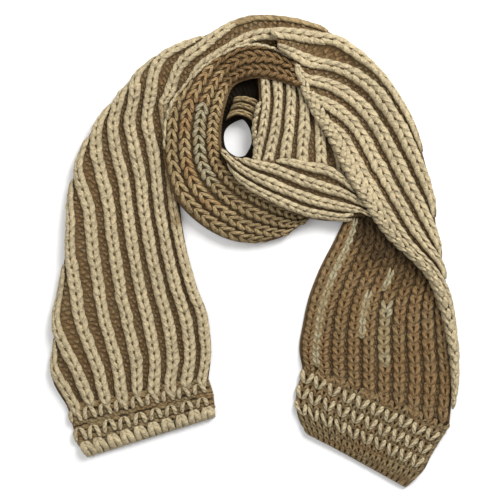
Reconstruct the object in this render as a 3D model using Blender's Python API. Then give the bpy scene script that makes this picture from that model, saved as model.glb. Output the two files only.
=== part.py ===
"""A chunky two-colour knit scarf, coiled once into a loop and laid flat, with both ends hanging down.

The scarf is one long ribbed strip.  Every stretch of it that shows is a solid slab of its own, laid
on the stretches under it in the order of STACK, and the folds that never show share one solid.
Units are metres; the tables are in millimetres.  +Z is up and the scarf lies on z = 0.
"""
import math

import bpy
import numpy as np

MM = 0.001

# ---- driving sizes, in millimetres ----
CLOTH = 7.0             # thickness of one layer of the knit, with its ribs pressed flat
HIDDEN_LAYERS = 12.0    # thickness of the folds that share the loop core
FOLD_CLOTH = 5.0        # thickness of the small fold that shows in the eye of the loop
EDGING = 8.0            # thickness of the cast-off edge
LAYER_GAP = 0.4         # clearance between one layer and the next
SEAM_GAP = 0.3          # clearance where one stretch runs on from another
EDGE_LIP = 1.6          # height of the slab at its very edge, before it rounds up
STEP_ALONG = 12.0       # mesh step along a stretch
STEP_ACROSS = 10.5      # mesh step across a stretch
ROUND_STEPS = (0.25,)   # extra mesh columns inside a rounded edge, as shares of its radius
RASTER = 2.0            # cell of the height map that the layers are stacked on
RASTER_HALF = 330.0     # half the side of that height map
SAG = 0.25              # how far a free span sinks at each pass while it settles
SETTLE_PASSES = 60
FOLD_REACH = 55.0       # how far in from a fold its extra height reaches

CREAM = (0.57, 0.48, 0.28, 1.0)
BROWN = (0.25, 0.14, 0.07, 1.0)

# ---- the stretches ----
# One row per section.  left x, left y and right x, right y are the two edges of the cloth as seen
# when walking along it; left fold and right fold are the extra height where the edge is rolled under.

LEFT_END_EDGING = (
    # left x, left y, right x, right y, left fold, right fold
    (-206, -224, -43, -177, 0, 0),
    (-195, -239, -42, -191, 0, 0),
)

LEFT_END_BAND = (
    (-218, -180, -50, -147, 0, 0),
    (-212, -201, -45, -162, 0, 0),
    (-206, -224, -43, -177, 0, 0),
)

LEFT_TAIL = (
    (-218, -180, -50, -147, 0, 0),
    (-235, -149, -47, -120, 2, 0),
    (-233, -110, -48, -96, 5, 1),
    (-234, -85, -51, -74, 8, 2),
    (-226, -42, -63, -42, 9, 3),
    (-220, 2, -76, 6, 10, 3),
    (-217, 44, -83, 51, 11, 2),
    (-212, 81, -85, 85, 12, 1),
    (-201, 116, -87, 120, 13, 0),
    (-185, 147, -93, 149, 13, 0),
    (-164, 174, -95, 171, 13, 0),
)

OVER_TOP = (
    (-164, 174, -95, 171, 13, 0),
    (-135, 208, -80, 178, 13, 0),
    (-112, 229, -67, 188, 12, 0),
    (-86, 241, -51, 197, 11, 0),
    (-57, 252, -32, 204, 10, 0),
    (-27, 266, -12, 209, 9, 0),
    (2, 273, 7, 212, 9, 0),
    (27, 273, 27, 213, 9, 0),
)

RIGHT_SWEEP = (
    (27, 273, 27, 232, 9, 0),
    (60, 267, 43, 220, 9, 0),
    (97, 252, 51, 193, 9, 0),
    (131, 228, 62, 168, 9, 0),
    (154, 202, 73, 148, 9, 0),
    (181, 160, 87, 125, 9, 0),
    (196, 121, 102, 93, 9, 0),
    (208, 70, 125, 55, 8, 0),
    (216, 13, 154, 16, 7, 0),
    (223, -30, 196, -25, 6, 0),
    (232, -81, 217, -76, 4, 0),
    (236, -122, 225, -121, 3, 0),
    (235, -173, 228, -173, 1, 0),
)

RIGHT_TAIL = (
    (109, 50, 159, 43, 2, 0),
    (91, 12, 191, 9, 2, 0),
    (75, -19, 212, -24, 2, 0),
    (62, -53, 222, -58, 2, 1),
    (55, -85, 229, -99, 2, 2),
    (51, -111, 233, -148, 2, 2),
    (55, -136, 229, -203, 1, 1),
)

RIGHT_END_BAND = (
    (55, -136, 229, -203, 1, 1),
    (47, -175, 209, -235, 0, 0),
    (56, -204, 192, -262, 0, 0),
    (65, -212, 176, -273, 0, 0),
)

LOOP_CORE = (
    (-12, 198, -14, 153, 0, 0),
    (-44, 188, -27, 147, 0, 0),
    (-73, 157, -34, 136, 0, 0),
    (-76, 117, -32, 120, 0, 0),
    (-61, 73, -22, 111, 0, 0),
    (-25, 42, -14, 110, 0, 0),
    (19, 42, -9, 112, 0, 0),
    (53, 65, -4, 121, 0, 0),
    (65, 117, -2, 129, 0, 0),
    (53, 163, -4, 141, 0, 0),
    (25, 193, -9, 150, 0, 0),
)

EYE_FOLD = (
    (-33, 148, -20, 179, 0, 0),
    (-20, 155, -16, 180, 2, 2),
    (-8, 152, -8, 180, 2, 2),
    (3, 143, 6, 176, 0, 0),
)

INNER_RIBS = (
    (2, 204, 49, 206, 2, 0),
    (4, 174, 67, 174, 3, 0),
    (-2, 145, 88, 142, 4, 0),
    (-1, 117, 103, 114, 3, 0),
    (-3, 91, 113, 91, 1, 0),
)

RING_BAND = (
    (44, 223, 43, 190, 0, 0),
    (20, 236, 19, 196, 0, 0),
    (-16, 237, -4, 197, 0, 0),
    (-52, 218, -24, 188, 0, 2),
    (-76, 197, -32, 167, 0, 3),
    (-93, 167, -36, 147, 0, 4),
    (-101, 133, -37, 127, 0, 4),
    (-102, 98, -34, 106, 1, 3),
    (-89, 60, -20, 88, 6, 0),
    (-65, 34, -2, 74, 9, 0),
    (-29, 14, 21, 63, 10, 0),
    (3, 10, 43, 52, 10, 0),
    (34, 17, 60, 47, 8, 0),
    (59, 34, 74, 50, 5, 0),
)

CROSS_BAND = (
    (-37, 122, -36, 109, 0, 2),
    (-21, 110, -25, 89, 1, 3),
    (-3, 106, -4, 68, 2, 4),
    (27, 106, 29, 49, 2, 5),
    (59, 104, 60, 37, 2, 7),
    (89, 98, 88, 33, 1, 8),
    (111, 82, 106, 34, 0, 6),
    (127, 64, 122, 39, 0, 3),
)

# name, table, thickness, colour, lies on the floor, start and end of the stretch, stretch it runs on from
STACK = (
    ("left_end_edging", LEFT_END_EDGING, EDGING, "cream_yarn", True, "seam", "free", None),
    ("left_end_band", LEFT_END_BAND, CLOTH, "brown_yarn", True, "seam", "seam", None),
    ("left_tail", LEFT_TAIL, CLOTH, "cream_yarn", True, "seam", "seam", None),
    ("over_top", OVER_TOP, CLOTH, "cream_yarn", True, "seam", "seam", None),
    ("loop_core", LOOP_CORE, HIDDEN_LAYERS, "brown_yarn", True, "closed", "closed", None),
    ("right_tail", RIGHT_TAIL, CLOTH, "brown_yarn", True, "free", "seam", None),
    ("right_end_band", RIGHT_END_BAND, CLOTH, "brown_yarn", True, "seam", "free", None),
    ("eye_fold", EYE_FOLD, FOLD_CLOTH, "brown_yarn", False, "free", "free", None),
    ("inner_ribs", INNER_RIBS, CLOTH, "cream_yarn", False, "free", "free", None),
    ("ring_band", RING_BAND, CLOTH, "brown_yarn", False, "free", "free", None),
    ("cross_band", CROSS_BAND, CLOTH, "cream_yarn", False, "free", "free", None),
    ("right_sweep", RIGHT_SWEEP, CLOTH, "cream_yarn", False, "seam", "free", "over_top"),
)


def clear_scene():
    """Removes whatever the startup file holds."""
    for found in list(bpy.data.objects):
        bpy.data.objects.remove(found, do_unlink=True)


def yarn_material(name, colour):
    """A plain matt yarn."""
    material = bpy.data.materials.new(name)
    material.use_nodes = True
    shader = material.node_tree.nodes["Principled BSDF"]
    shader.inputs["Base Color"].default_value = colour
    shader.inputs["Roughness"].default_value = 0.9
    shader.inputs["Sheen Weight"].default_value = 0.3
    material.diffuse_color = colour
    return material


def smooth_rows(table, closed, step):
    """The table's rows joined by a smooth curve and read off every `step` along the cloth's middle."""
    rows = np.array(table, dtype=float)
    if closed:
        rows = np.vstack((rows[-1:], rows, rows[:2]))
    middles = (rows[:, 0:2] + rows[:, 2:4]) / 2
    spans = np.linalg.norm(np.diff(middles, axis=0), axis=1)
    travel = np.concatenate(([0.0], np.cumsum(np.maximum(spans, 1.0))))
    slopes = np.gradient(rows, travel, axis=0)
    first, last = (1, len(rows) - 2) if closed else (0, len(rows) - 1)
    count = max(2, int(round((travel[last] - travel[first]) / step)))
    stations = np.linspace(travel[first], travel[last], count + 1)
    if closed:
        stations = stations[:-1]
    below = np.clip(np.searchsorted(travel, stations, side="right") - 1, 0, len(rows) - 2)
    width = (travel[below + 1] - travel[below])[:, None]
    part = ((stations - travel[below])[:, None]) / width
    start, end = rows[below], rows[below + 1]
    return (
        start * (2 * part**3 - 3 * part**2 + 1)
        + slopes[below] * width * (part**3 - 2 * part**2 + part)
        + end * (3 * part**2 - 2 * part**3)
        + slopes[below + 1] * width * (part**3 - part**2)
    )


def column_shares(width, radius, count):
    """Shares of the way across, with extra columns where both edges round over."""
    turn = min(radius, 0.45 * width) / width
    inner = np.linspace(turn, 1 - turn, count)
    left = np.array([0.0] + [turn * share for share in ROUND_STEPS])
    return np.concatenate((left, inner, 1 - left[::-1]))


def edge_round(distance, radius):
    """0 at an edge and 1 from `radius` inwards, along a quarter circle."""
    share = np.clip(1 - distance / radius, 0.0, 1.0)
    return np.sqrt(1 - share**2)


def fold_height(distance):
    """How a fold's extra height fades away from its edge."""
    return np.cos(np.clip(distance / FOLD_REACH, 0.0, 1.0) * math.pi / 2) ** 2


class HeightMap:
    """The top of each stretch that has been laid, on a square grid over the floor."""

    def __init__(self):
        self.size = int(2 * RASTER_HALF / RASTER) + 1
        self.layers = {}

    def cells(self, x, y):
        column = np.clip(np.rint((x + RASTER_HALF) / RASTER).astype(int), 0, self.size - 1)
        row = np.clip(np.rint((y + RASTER_HALF) / RASTER).astype(int), 0, self.size - 1)
        return row, column

    def add(self, name, points):
        """Marks the triangles of a grid of points, split along the same diagonal as the mesh."""
        layer = np.zeros((self.size, self.size))
        corner, ahead = points[:-1, :-1], points[1:, :-1]
        beside, across = points[:-1, 1:], points[1:, 1:]
        shares = np.linspace(0.0, 1.0, 2 + int(max(STEP_ALONG, STEP_ACROSS) / RASTER * 1.6))
        for s in shares:
            for t in shares:
                if s + t <= 1:
                    spot = corner + s * (ahead - corner) + t * (beside - corner)
                else:
                    spot = across + (1 - s) * (beside - across) + (1 - t) * (ahead - across)
                row, column = self.cells(spot[..., 0], spot[..., 1])
                np.maximum.at(layer, (row, column), spot[..., 2])
        self.layers[name] = layer

    def support(self, x, y, reach, skip):
        """The highest top within `reach` of each point, among the stretches laid so far."""
        total = np.zeros((self.size, self.size))
        for name, layer in self.layers.items():
            if name != skip:
                total = np.maximum(total, layer)
        steps = int(math.ceil(reach / RASTER)) + 1
        wide = total.copy()
        for down in range(-steps, steps + 1):
            for over in range(-steps, steps + 1):
                if down * down + over * over <= steps * steps:
                    wide = np.maximum(wide, np.roll(total, (down, over), axis=(0, 1)))
        row, column = self.cells(x, y)
        return wide[row, column]


def neighbour_mean(height, closed):
    """The mean of each point's four neighbours, with the rim repeated."""
    along = np.pad(height, ((1, 1), (0, 0)), mode="wrap" if closed else "edge")
    across = np.pad(height, ((0, 0), (1, 1)), mode="edge")
    return (along[:-2] + along[2:] + across[:, :-2] + across[:, 2:]) / 4


def settle(needed, held, closed):
    """Lets the cloth hang taut between its supports: never below them, never sharply bent."""
    height = needed.copy()
    for _ in range(SETTLE_PASSES):
        height = np.maximum(needed, neighbour_mean(height, closed) - SAG)
        height[held] = needed[held]
    return height


def slab_points(entry, heights):
    """Top and bottom grids of one stretch, in millimetres."""
    name, table, thickness, _, on_floor, start, end, runs_on_from = entry
    closed = start == "closed"
    rows = smooth_rows(table, closed, STEP_ALONG)
    left, right = rows[:, 0:2], rows[:, 2:4]
    widths = np.linalg.norm(right - left, axis=1)
    radii = thickness * 0.9 + 0.5 * np.maximum(rows[:, 4], rows[:, 5])
    count = max(3, int(round(widths.max() / STEP_ACROSS)) - 1)
    shares = np.array([column_shares(w, r, count) for w, r in zip(widths, radii)])
    flat = left[:, None, :] + (right - left)[:, None, :] * shares[..., None]

    middle = flat.mean(axis=1)
    if start == "seam":
        ahead = middle[1] - middle[0]
        flat[0] += ahead / np.linalg.norm(ahead) * SEAM_GAP / 2
    if end == "seam":
        back = middle[-2] - middle[-1]
        flat[-1] += back / np.linalg.norm(back) * SEAM_GAP / 2

    if on_floor:
        bottom = np.zeros(flat.shape[:2])
    else:
        reach = math.hypot(STEP_ALONG, STEP_ACROSS) * 1.25
        needed = heights.support(flat[..., 0], flat[..., 1], reach, runs_on_from)
        needed = np.where(needed > 0, needed + LAYER_GAP, 0.0)
        held = np.zeros(needed.shape, dtype=bool)
        held[:, 0] = rows[:, 4] > 0
        held[:, -1] = rows[:, 5] > 0
        bottom = settle(needed, held, closed)

    from_left = shares * widths[:, None]
    from_right = (1 - shares) * widths[:, None]
    top = bottom + thickness
    top = top + rows[:, 4:5] * fold_height(from_left) + rows[:, 5:6] * fold_height(from_right)
    turn = np.minimum(radii, 0.45 * widths)[:, None]
    rounding = edge_round(from_left, turn) * edge_round(from_right, turn)
    if not closed:
        travel = np.concatenate(([0.0], np.cumsum(np.linalg.norm(np.diff(middle, axis=0), axis=1))))
        if start == "free":
            rounding = rounding * edge_round(travel, thickness)[:, None]
        if end == "free":
            rounding = rounding * edge_round(travel[-1] - travel, thickness)[:, None]
    top = bottom + EDGE_LIP + (top - bottom - EDGE_LIP) * rounding
    return np.dstack((flat, top)), np.dstack((flat, bottom)), closed


def slab_faces(rows, columns, closed):
    """Triangles of a closed slab whose top grid comes first and bottom grid second."""
    faces = []
    loops = rows if closed else rows - 1
    base = rows * columns

    def top(i, j):
        return (i % rows) * columns + j

    def low(i, j):
        return base + (i % rows) * columns + j

    for i in range(loops):
        for j in range(columns - 1):
            faces.append((top(i, j), top(i, j + 1), top(i + 1, j)))
            faces.append((top(i + 1, j + 1), top(i + 1, j), top(i, j + 1)))
            faces.append((low(i, j), low(i + 1, j), low(i, j + 1)))
            faces.append((low(i + 1, j + 1), low(i, j + 1), low(i + 1, j)))
        for j, flip in ((0, False), (columns - 1, True)):
            wall = [(top(i, j), top(i + 1, j), low(i + 1, j)), (top(i, j), low(i + 1, j), low(i, j))]
            faces.extend(tuple(reversed(face)) if flip else face for face in wall)
    if not closed:
        for i, flip in ((0, True), (rows - 1, False)):
            for j in range(columns - 1):
                wall = [(top(i, j), top(i, j + 1), low(i, j + 1)), (top(i, j), low(i, j + 1), low(i, j))]
                faces.extend(tuple(reversed(face)) if flip else face for face in wall)
    return faces


def signed_volume(points, faces):
    """Positive when the faces turn outwards."""
    corners = points[np.array(faces)]
    return np.einsum("ij,ij->i", corners[:, 0], np.cross(corners[:, 1], corners[:, 2])).sum() / 6


def lay_stretch(entry, heights, materials):
    """Makes one stretch as a named closed solid and marks its top on the height map."""
    name, colour = entry[0], entry[3]
    top, bottom, closed = slab_points(entry, heights)
    shown = np.concatenate((top, top[:1])) if closed else top
    heights.add(name, shown)
    rows, columns = top.shape[:2]
    points = np.concatenate((top.reshape(-1, 3), bottom.reshape(-1, 3)))
    faces = slab_faces(rows, columns, closed)
    if signed_volume(points, faces) < 0:
        faces = [tuple(reversed(face)) for face in faces]
    mesh = bpy.data.meshes.new(name)
    mesh.from_pydata((points * MM).tolist(), [], faces)
    mesh.materials.append(materials[colour])
    mesh.update()
    solid = bpy.data.objects.new(name, mesh)
    bpy.context.scene.collection.objects.link(solid)
    return solid


def build_scarf():
    """Lays every stretch from the floor up."""
    clear_scene()
    materials = {
        "cream_yarn": yarn_material("cream_yarn", CREAM),
        "brown_yarn": yarn_material("brown_yarn", BROWN),
    }
    heights = HeightMap()
    for entry in STACK:
        lay_stretch(entry, heights, materials)


build_scarf()
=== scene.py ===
"""Looks of a chunky two-colour knit scarf: every stretch gets its cloth, its ribs and its stitches."""

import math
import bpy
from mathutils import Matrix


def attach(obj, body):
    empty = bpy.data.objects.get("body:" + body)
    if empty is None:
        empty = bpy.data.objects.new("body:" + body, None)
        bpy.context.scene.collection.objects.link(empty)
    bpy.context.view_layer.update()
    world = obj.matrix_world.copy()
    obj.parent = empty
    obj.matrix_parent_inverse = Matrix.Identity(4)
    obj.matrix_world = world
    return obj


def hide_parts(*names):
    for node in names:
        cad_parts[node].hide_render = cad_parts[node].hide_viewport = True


bl_info = {
    "name": "Chunky Knit Scarf",
    "version": (1, 0, 0),
    "blender": (4, 5, 0),
    "location": "3D View > Sidebar > Scarf",
    "description": "Knits the looks of a coiled, ribbed two-colour scarf around its solid model",
    "category": "Add Mesh",
}

import bpy
import numpy as np
from bpy.props import FloatProperty, FloatVectorProperty, IntProperty, PointerProperty

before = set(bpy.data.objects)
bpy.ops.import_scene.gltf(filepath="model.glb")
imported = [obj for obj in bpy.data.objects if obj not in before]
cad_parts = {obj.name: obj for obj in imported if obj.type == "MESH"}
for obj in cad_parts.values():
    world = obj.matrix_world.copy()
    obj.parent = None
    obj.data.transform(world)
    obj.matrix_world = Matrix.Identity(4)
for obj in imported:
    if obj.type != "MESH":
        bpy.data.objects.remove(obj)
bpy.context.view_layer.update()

MM = 0.001

# Where the cloth lies: one row per section, in millimetres.
# left x, left y and right x, right y are the edges of the cloth as seen when walking along it.
# left fold and right fold are the extra height where an edge is rolled under.
# rib left, rib middle and rib right say which rib lies at each edge and halfway across.

LEFT_EDGING_SEAM = (-206, -224, -43, -177, 0, 0, -0.5, 4, 8.5)
RIGHT_BAND_SEAM = (55, -136, 229, -203, 1, 1, -0.5, 4.5, 9.5)

LEFT_END_EDGING = (
    LEFT_EDGING_SEAM,
    (-195, -239, -42, -191, 0, 0, -0.5, 4, 8.5),
)

LEFT_END_BAND = (
    (-218, -180, -50, -147, 0, 0, -0.5, 4, 8.5),
    (-212, -201, -45, -162, 0, 0, -0.5, 4, 8.5),
    LEFT_EDGING_SEAM,
)

FRONT_RUN = (
    (-218, -180, -50, -147, 0, 0, -0.5, 4, 8.35),
    (-235, -149, -47, -120, 2, 0, -0.3, 3.7, 8.25),
    (-233, -110, -48, -96, 5, 1, 0.6, 4, 8.25),
    (-234, -85, -51, -74, 8, 2, 0.9, 4.15, 8.25),
    (-226, -42, -63, -42, 9, 3, 1.35, 4.4, 8.25),
    (-220, 2, -76, 6, 10, 3, 1.8, 4.6, 8.25),
    (-217, 44, -83, 51, 11, 2, 1.95, 4.8, 8.35),
    (-212, 81, -85, 85, 12, 1, 2.7, 5.1, 8.5),
    (-201, 116, -87, 120, 13, 0, 3.2, 5.7, 8.3),
    (-185, 147, -93, 149, 13, 0, 3.8, 6.2, 8.2),
    (-164, 174, -95, 171, 13, 0, 4.6, 6.5, 8.3),
    (-135, 208, -80, 178, 13, 0, 6.2, 7.4, 8.7),
    (-112, 229, -67, 188, 12, 0, 6.75, 7.95, 9.2),
    (-86, 241, -51, 197, 11, 0, 6.95, 8.45, 9.8),
    (-57, 252, -32, 204, 10, 0, 7.6, 8.8, 10.1),
    (-27, 266, -12, 209, 9, 0, 8.0, 9.05, 10.5),
    (2, 273, 7, 212, 9, 0, 8.25, 9.3, 10.8),
    (27, 273, 27, 213, 9, 0, 8.25, 9.3, 10.8),
)

RIGHT_SWEEP = (
    (27, 273, 27, 232, 9, 0, 8.25, 8.9, 9.7),
    (60, 267, 43, 220, 9, 0, 8.45, 9.2, 10.1),
    (97, 252, 51, 193, 9, 0, 8.85, 9.75, 11.2),
    (131, 228, 62, 168, 9, 0, 8.85, 10.6, 12.3),
    (154, 202, 73, 148, 9, 0, 9.1, 11.1, 13.0),
    (181, 160, 87, 125, 9, 0, 9.2, 11.4, 13.6),
    (196, 121, 102, 93, 9, 0, 9.4, 11.6, 13.7),
    (208, 70, 125, 55, 8, 0, 9.95, 11.9, 13.8),
    (216, 13, 154, 16, 7, 0, 10.95, 12.4, 13.8),
    (223, -30, 196, -25, 6, 0, 12.3, 13.1, 13.8),
    (232, -81, 217, -76, 4, 0, 13.3, 13.5, 13.8),
    (236, -122, 225, -121, 3, 0, 13.35, 13.55, 13.8),
    (235, -166, 227, -167, 1, 0, 13.35, 13.55, 13.8),
    (232, -182, 227, -181, 0, 0, 13.35, 13.55, 13.8),
)

RIGHT_TAIL = (
    (109, 50, 159, 43, 2, 0, -0.5, 2, 3.8),
    (91, 12, 191, 9, 2, 0, -0.5, 2.6, 6.1),
    (75, -19, 212, -24, 2, 0, -0.5, 3.5, 7.9),
    (62, -53, 222, -58, 2, 1, -0.5, 4.2, 9.1),
    (55, -85, 229, -99, 2, 2, -0.5, 4.5, 9.5),
    (51, -111, 233, -148, 2, 2, -0.5, 4.5, 9.5),
    RIGHT_BAND_SEAM,
)

RIGHT_END_BAND = (
    RIGHT_BAND_SEAM,
    (47, -175, 209, -235, 0, 0, -0.5, 4.5, 9.5),
    (56, -204, 192, -262, 0, 0, -0.5, 4.5, 9.5),
    (65, -212, 176, -273, 0, 0, 0, 4.5, 9),
)

LOOP_CORE = tuple((*edges, 0, 0, 0, 1, 2) for edges in (
    (-12, 203, -14, 153),
    (-46, 192, -27, 147),
    (-73, 157, -34, 136),
    (-76, 117, -32, 120),
    (-61, 73, -22, 111),
    (-25, 42, -14, 110),
    (19, 42, -9, 112),
    (53, 65, -4, 121),
    (65, 117, -2, 129),
    (53, 163, -4, 141),
    (27, 200, -9, 150),
))

EYE_FOLD = (
    (-33, 148, -20, 179, 0, 0, -0.4, 1.0, 2.4),
    (-20, 155, -16, 180, 2, 2, -0.4, 1.0, 2.4),
    (-8, 152, -8, 180, 2, 2, -0.4, 1.0, 2.4),
    (3, 143, 6, 176, 0, 0, -0.4, 1.0, 2.4),
)

INNER_RIBS = (
    (2, 204, 49, 206, 2, 0, -0.5, 0.9, 2.3),
    (4, 174, 67, 174, 3, 0, -0.5, 1.5, 3.4),
    (-2, 145, 88, 142, 4, 0, -0.8, 2.13, 4.4),
    (-1, 117, 103, 114, 3, 0, -0.1, 2.75, 5.0),
    (-3, 89, 117, 80, 1, 0, 0.3, 3.0, 5.4),
)

RING_BAND = (
    (44, 223, 43, 190, 0, 0, 1.4, 2.4, 3.4),
    (20, 236, 19, 196, 0, 0, 1.3, 2.35, 3.4),
    (-16, 237, -4, 197, 0, 0, 1.1, 2.25, 3.4),
    (-52, 218, -24, 188, 0, 2, 0.7, 2.0, 3.4),
    (-76, 197, -32, 167, 0, 3, 0.2, 1.8, 3.4),
    (-97, 169, -36, 147, 0, 4, -0.25, 1.6, 3.4),
    (-104, 134, -37, 127, 0, 4, -0.45, 1.5, 3.4),
    (-102, 98, -34, 106, 1, 3, -0.4, 1.5, 3.4),
    (-89, 60, -20, 88, 6, 0, -0.4, 1.5, 3.4),
    (-65, 34, -2, 74, 9, 0, -0.4, 1.5, 3.4),
    (-29, 14, 21, 63, 10, 0, -0.3, 1.6, 3.4),
    (3, 10, 43, 52, 10, 0, 0.0, 1.7, 3.4),
    (34, 17, 60, 47, 8, 0, 0.7, 2.1, 3.4),
    (59, 34, 74, 50, 5, 0, 1.7, 2.6, 3.4),
)

CROSS_BAND = (
    (-37, 122, -36, 109, 0, 2, 1.5, 2.0, 2.6),
    (-21, 110, -25, 89, 1, 3, 1.3, 2.1, 2.9),
    (-3, 106, -4, 68, 2, 4, 0.9, 2.05, 3.3),
    (27, 106, 29, 49, 2, 5, 0.5, 1.8, 3.35),
    (59, 104, 60, 37, 2, 7, -0.1, 1.5, 3.3),
    (89, 98, 88, 33, 1, 8, -0.15, 1.3, 3.3),
    (111, 82, 106, 34, 0, 6, -0.1, 1.4, 3.0),
    (127, 64, 122, 39, 0, 3, 0.0, 1.4, 2.7),
)

# name: table, layer, lies on the floor, start and end of the stretch, stretch it runs on from
STACK = {
    "left_end_edging": (LEFT_END_EDGING, "edging", True, "seam", "free", None),
    "left_end_band": (LEFT_END_BAND, "cloth", True, "seam", "seam", None),
    "front_run": (FRONT_RUN, "cloth", True, "seam", "seam", None),
    "loop_core": (LOOP_CORE, "core", True, "closed", "closed", None),
    "right_tail": (RIGHT_TAIL, "cloth", True, "tucked", "seam", None),
    "right_end_band": (RIGHT_END_BAND, "cloth", True, "seam", "free", None),
    "eye_fold": (EYE_FOLD, "fold", False, "free", "free", None),
    "inner_ribs": (INNER_RIBS, "cloth", False, "free", "free", None),
    "ring_band": (RING_BAND, "cloth", False, "tucked", "free", None),
    "cross_band": (CROSS_BAND, "cloth", False, "free", "tucked", None),
    "right_sweep": (RIGHT_SWEEP, "cloth", False, "run_on", "free", "front_run"),
}
LAYER_MM = {"cloth": 7.0, "edging": 8.0, "core": 12.0, "fold": 5.0}
JOINED = ("seam", "tucked", "run_on")
# How many rows the knitting runs past each kind of end; less than 0 is short of it.
ROWS_PAST_END = {"seam": 0.3, "tucked": 0.8, "run_on": -0.3, "free": -0.2, "closed": 0.0}

# Lengths are in millimetres.
TUCK = 7.0              # how far a tucked end's cloth runs on under its neighbour
RIB_MM = 21.0           # usual width of one rib
HIDDEN_RIB_MM = 20.0    # rib spacing past an edge
EDGE_HUG = 0.5          # how near an edge the last rib may lie
EDGE_EASE = 5.0         # how gradually the ribs before it close up
EDGE_UPRIGHT = 0.6      # how strongly yarn on a sloping edge is turned back upright
PAST_EDGE = 16.0        # how far past an edge a rib may lie and still show
ROOM_AT_EDGE = 12.5     # room that a rib at the edge takes up
LAYER_GAP = 0.4         # air between a stretch and the one under it
EDGE_LIP = 1.6          # height of the cloth at its very edge
FOLD_REACH = 55.0       # how far in a fold's extra height reaches
RASTER = 2.0            # cell of the height map
RASTER_HALF = 330.0     # half the width of the height map
SAG = 0.06              # how far the cloth sinks in one settling pass
SETTLE_STEP = 6.0       # mesh of the cloth while it settles
SETTLE_PASSES = 110
SHELL_ALONG = 5.0       # mesh of the finished cloth, along it and across it
SHELL_ACROSS = 2.6
MAX_SHELL_COLUMNS = 76

# How unevenly the stitches lie: along in millimetres, across in ribs, width and height as shares.
SHAKE_ALONG, SHAKE_ACROSS, SHAKE_WIDTH, SHAKE_HEIGHT = 0.35, 0.012, 0.04, 0.07

# Shapes of the legs of a stitch: length in rows; the rest in ribs, but for the bend and the drop of the side.
RING_LEG = {"tall": 1.25, "spread": 0.27, "plump": 0.150, "bend": 1.1, "drop": 3.6}
TAIL_LEG = {"tall": 1.42, "spread": 0.235, "plump": 0.17, "bend": 1.0, "flip": True}
STREAK_LEG = {"tall": 1.6, "spread": 0.16, "plump": 0.17}
BOLD_LEG = {"tall": 1.05, "foot": 0.14, "spread": 0.46, "plump": 0.29, "bend": 0.9, "drop": 0.3}
PLAIN_LEG = {"tall": 1.25, "foot": 0.06, "spread": 0.34, "plump": 0.23, "bend": 1.0, "drop": 0.5}
EDGING_LEG = {"tall": 1.15, "foot": 0.12, "spread": 0.16, "plump": 0.26, "bend": 1.0, "drop": 0.5}

# Selvedges: where their pieces of yarn lie and how big they are, in millimetres.
BRAID = {"side": "right", "thick": 3.9, "long": 7.6, "pitch": 12.6, "taper": 0.16}
OUTER_BRAID = {**BRAID, "inwards": 0.8, "lean": 3.0, "low": -3.8, "seed": 31, "start": 0.075}
INNER_BRAID = {**BRAID, "inwards": 7.4, "lean": -3.0, "low": -3.0, "seed": 32, "start": 0.088}
INNER_SELVEDGE = {"side": "left", "inwards": 1.2, "thick": 2.6, "lean": -1.4, "long": 5.4, "pitch": 8.8,
                  "low": -2.2, "seed": 33, "start": 0.3, "stop": 0.95}
RING_RIM = {"side": "left", "inwards": 0.3, "thick": 1.7, "lean": 0.7, "long": 6.6, "pitch": 9.0,
            "low": -4.2, "seed": 37, "stop": 0.50}


def distance_field(name, description, default):
    """A length that a user can change; the default is in millimetres."""
    return FloatProperty(name=name, description=description, default=default * MM, min=0.0005, max=0.03,
                         subtype="DISTANCE", unit="LENGTH")


def count_field(name, description, default):
    return IntProperty(name=name, description=description, default=default, min=4, max=16)


def colour_field(name, description, *default):
    return FloatVectorProperty(name=name, description=description, subtype="COLOR", size=4, min=0, max=1,
                               default=(*default, 1.0))


class ScarfSizes(bpy.types.PropertyGroup):
    """Sizes a knitter would change."""

    stitch_pitch: distance_field("Row height", "Distance from one stitch to the next along a rib", 10.4)
    rib_rise: distance_field("Rib rise", "How far the cloth rises from a valley to the top of its rib", 3.2)
    valley_depth: distance_field("Valley depth", "How far a valley lies under the top of the solid", 4.6)
    yarn_height: distance_field("Yarn height", "Half the thickness of one leg of a stitch", 2.3)
    edge_inset: distance_field("Edge inset", "How far the cloth stays inside the solid's outline", 2.2)
    leg_sides: count_field("Leg sides", "Sides of each leg of a stitch", 8)
    leg_steps: count_field("Leg steps", "Sections along each leg of a stitch", 8)


class ScarfColours(bpy.types.PropertyGroup):
    """Colours of the two yarns and of the studio."""

    cream: colour_field("Cream", "Cream yarn", 0.500, 0.410, 0.250)
    brown: colour_field("Brown", "Brown yarn", 0.238, 0.146, 0.064)
    khaki: colour_field("Khaki", "Mixed shade where the two yarns show together", 0.300, 0.222, 0.112)
    pale: colour_field("Pale streak", "Cream yarn between the ribs of the back", 0.360, 0.318, 0.205)
    floor: colour_field("Floor", "Studio floor", 0.86, 0.86, 0.86)
    light: FloatProperty(
        name="Light", description="Strength of the large soft light", default=34.0, min=0.0, unit="POWER")


def size_mm(name):
    """One of the scarf's sizes, in millimetres."""
    return getattr(bpy.context.scene.scarf_sizes, name) / MM


def rib_top():
    """How far the cloth on top of a rib lies under the top of the solid."""
    return size_mm("valley_depth") - size_mm("rib_rise")


# ---- Laying the cloth ----

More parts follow.
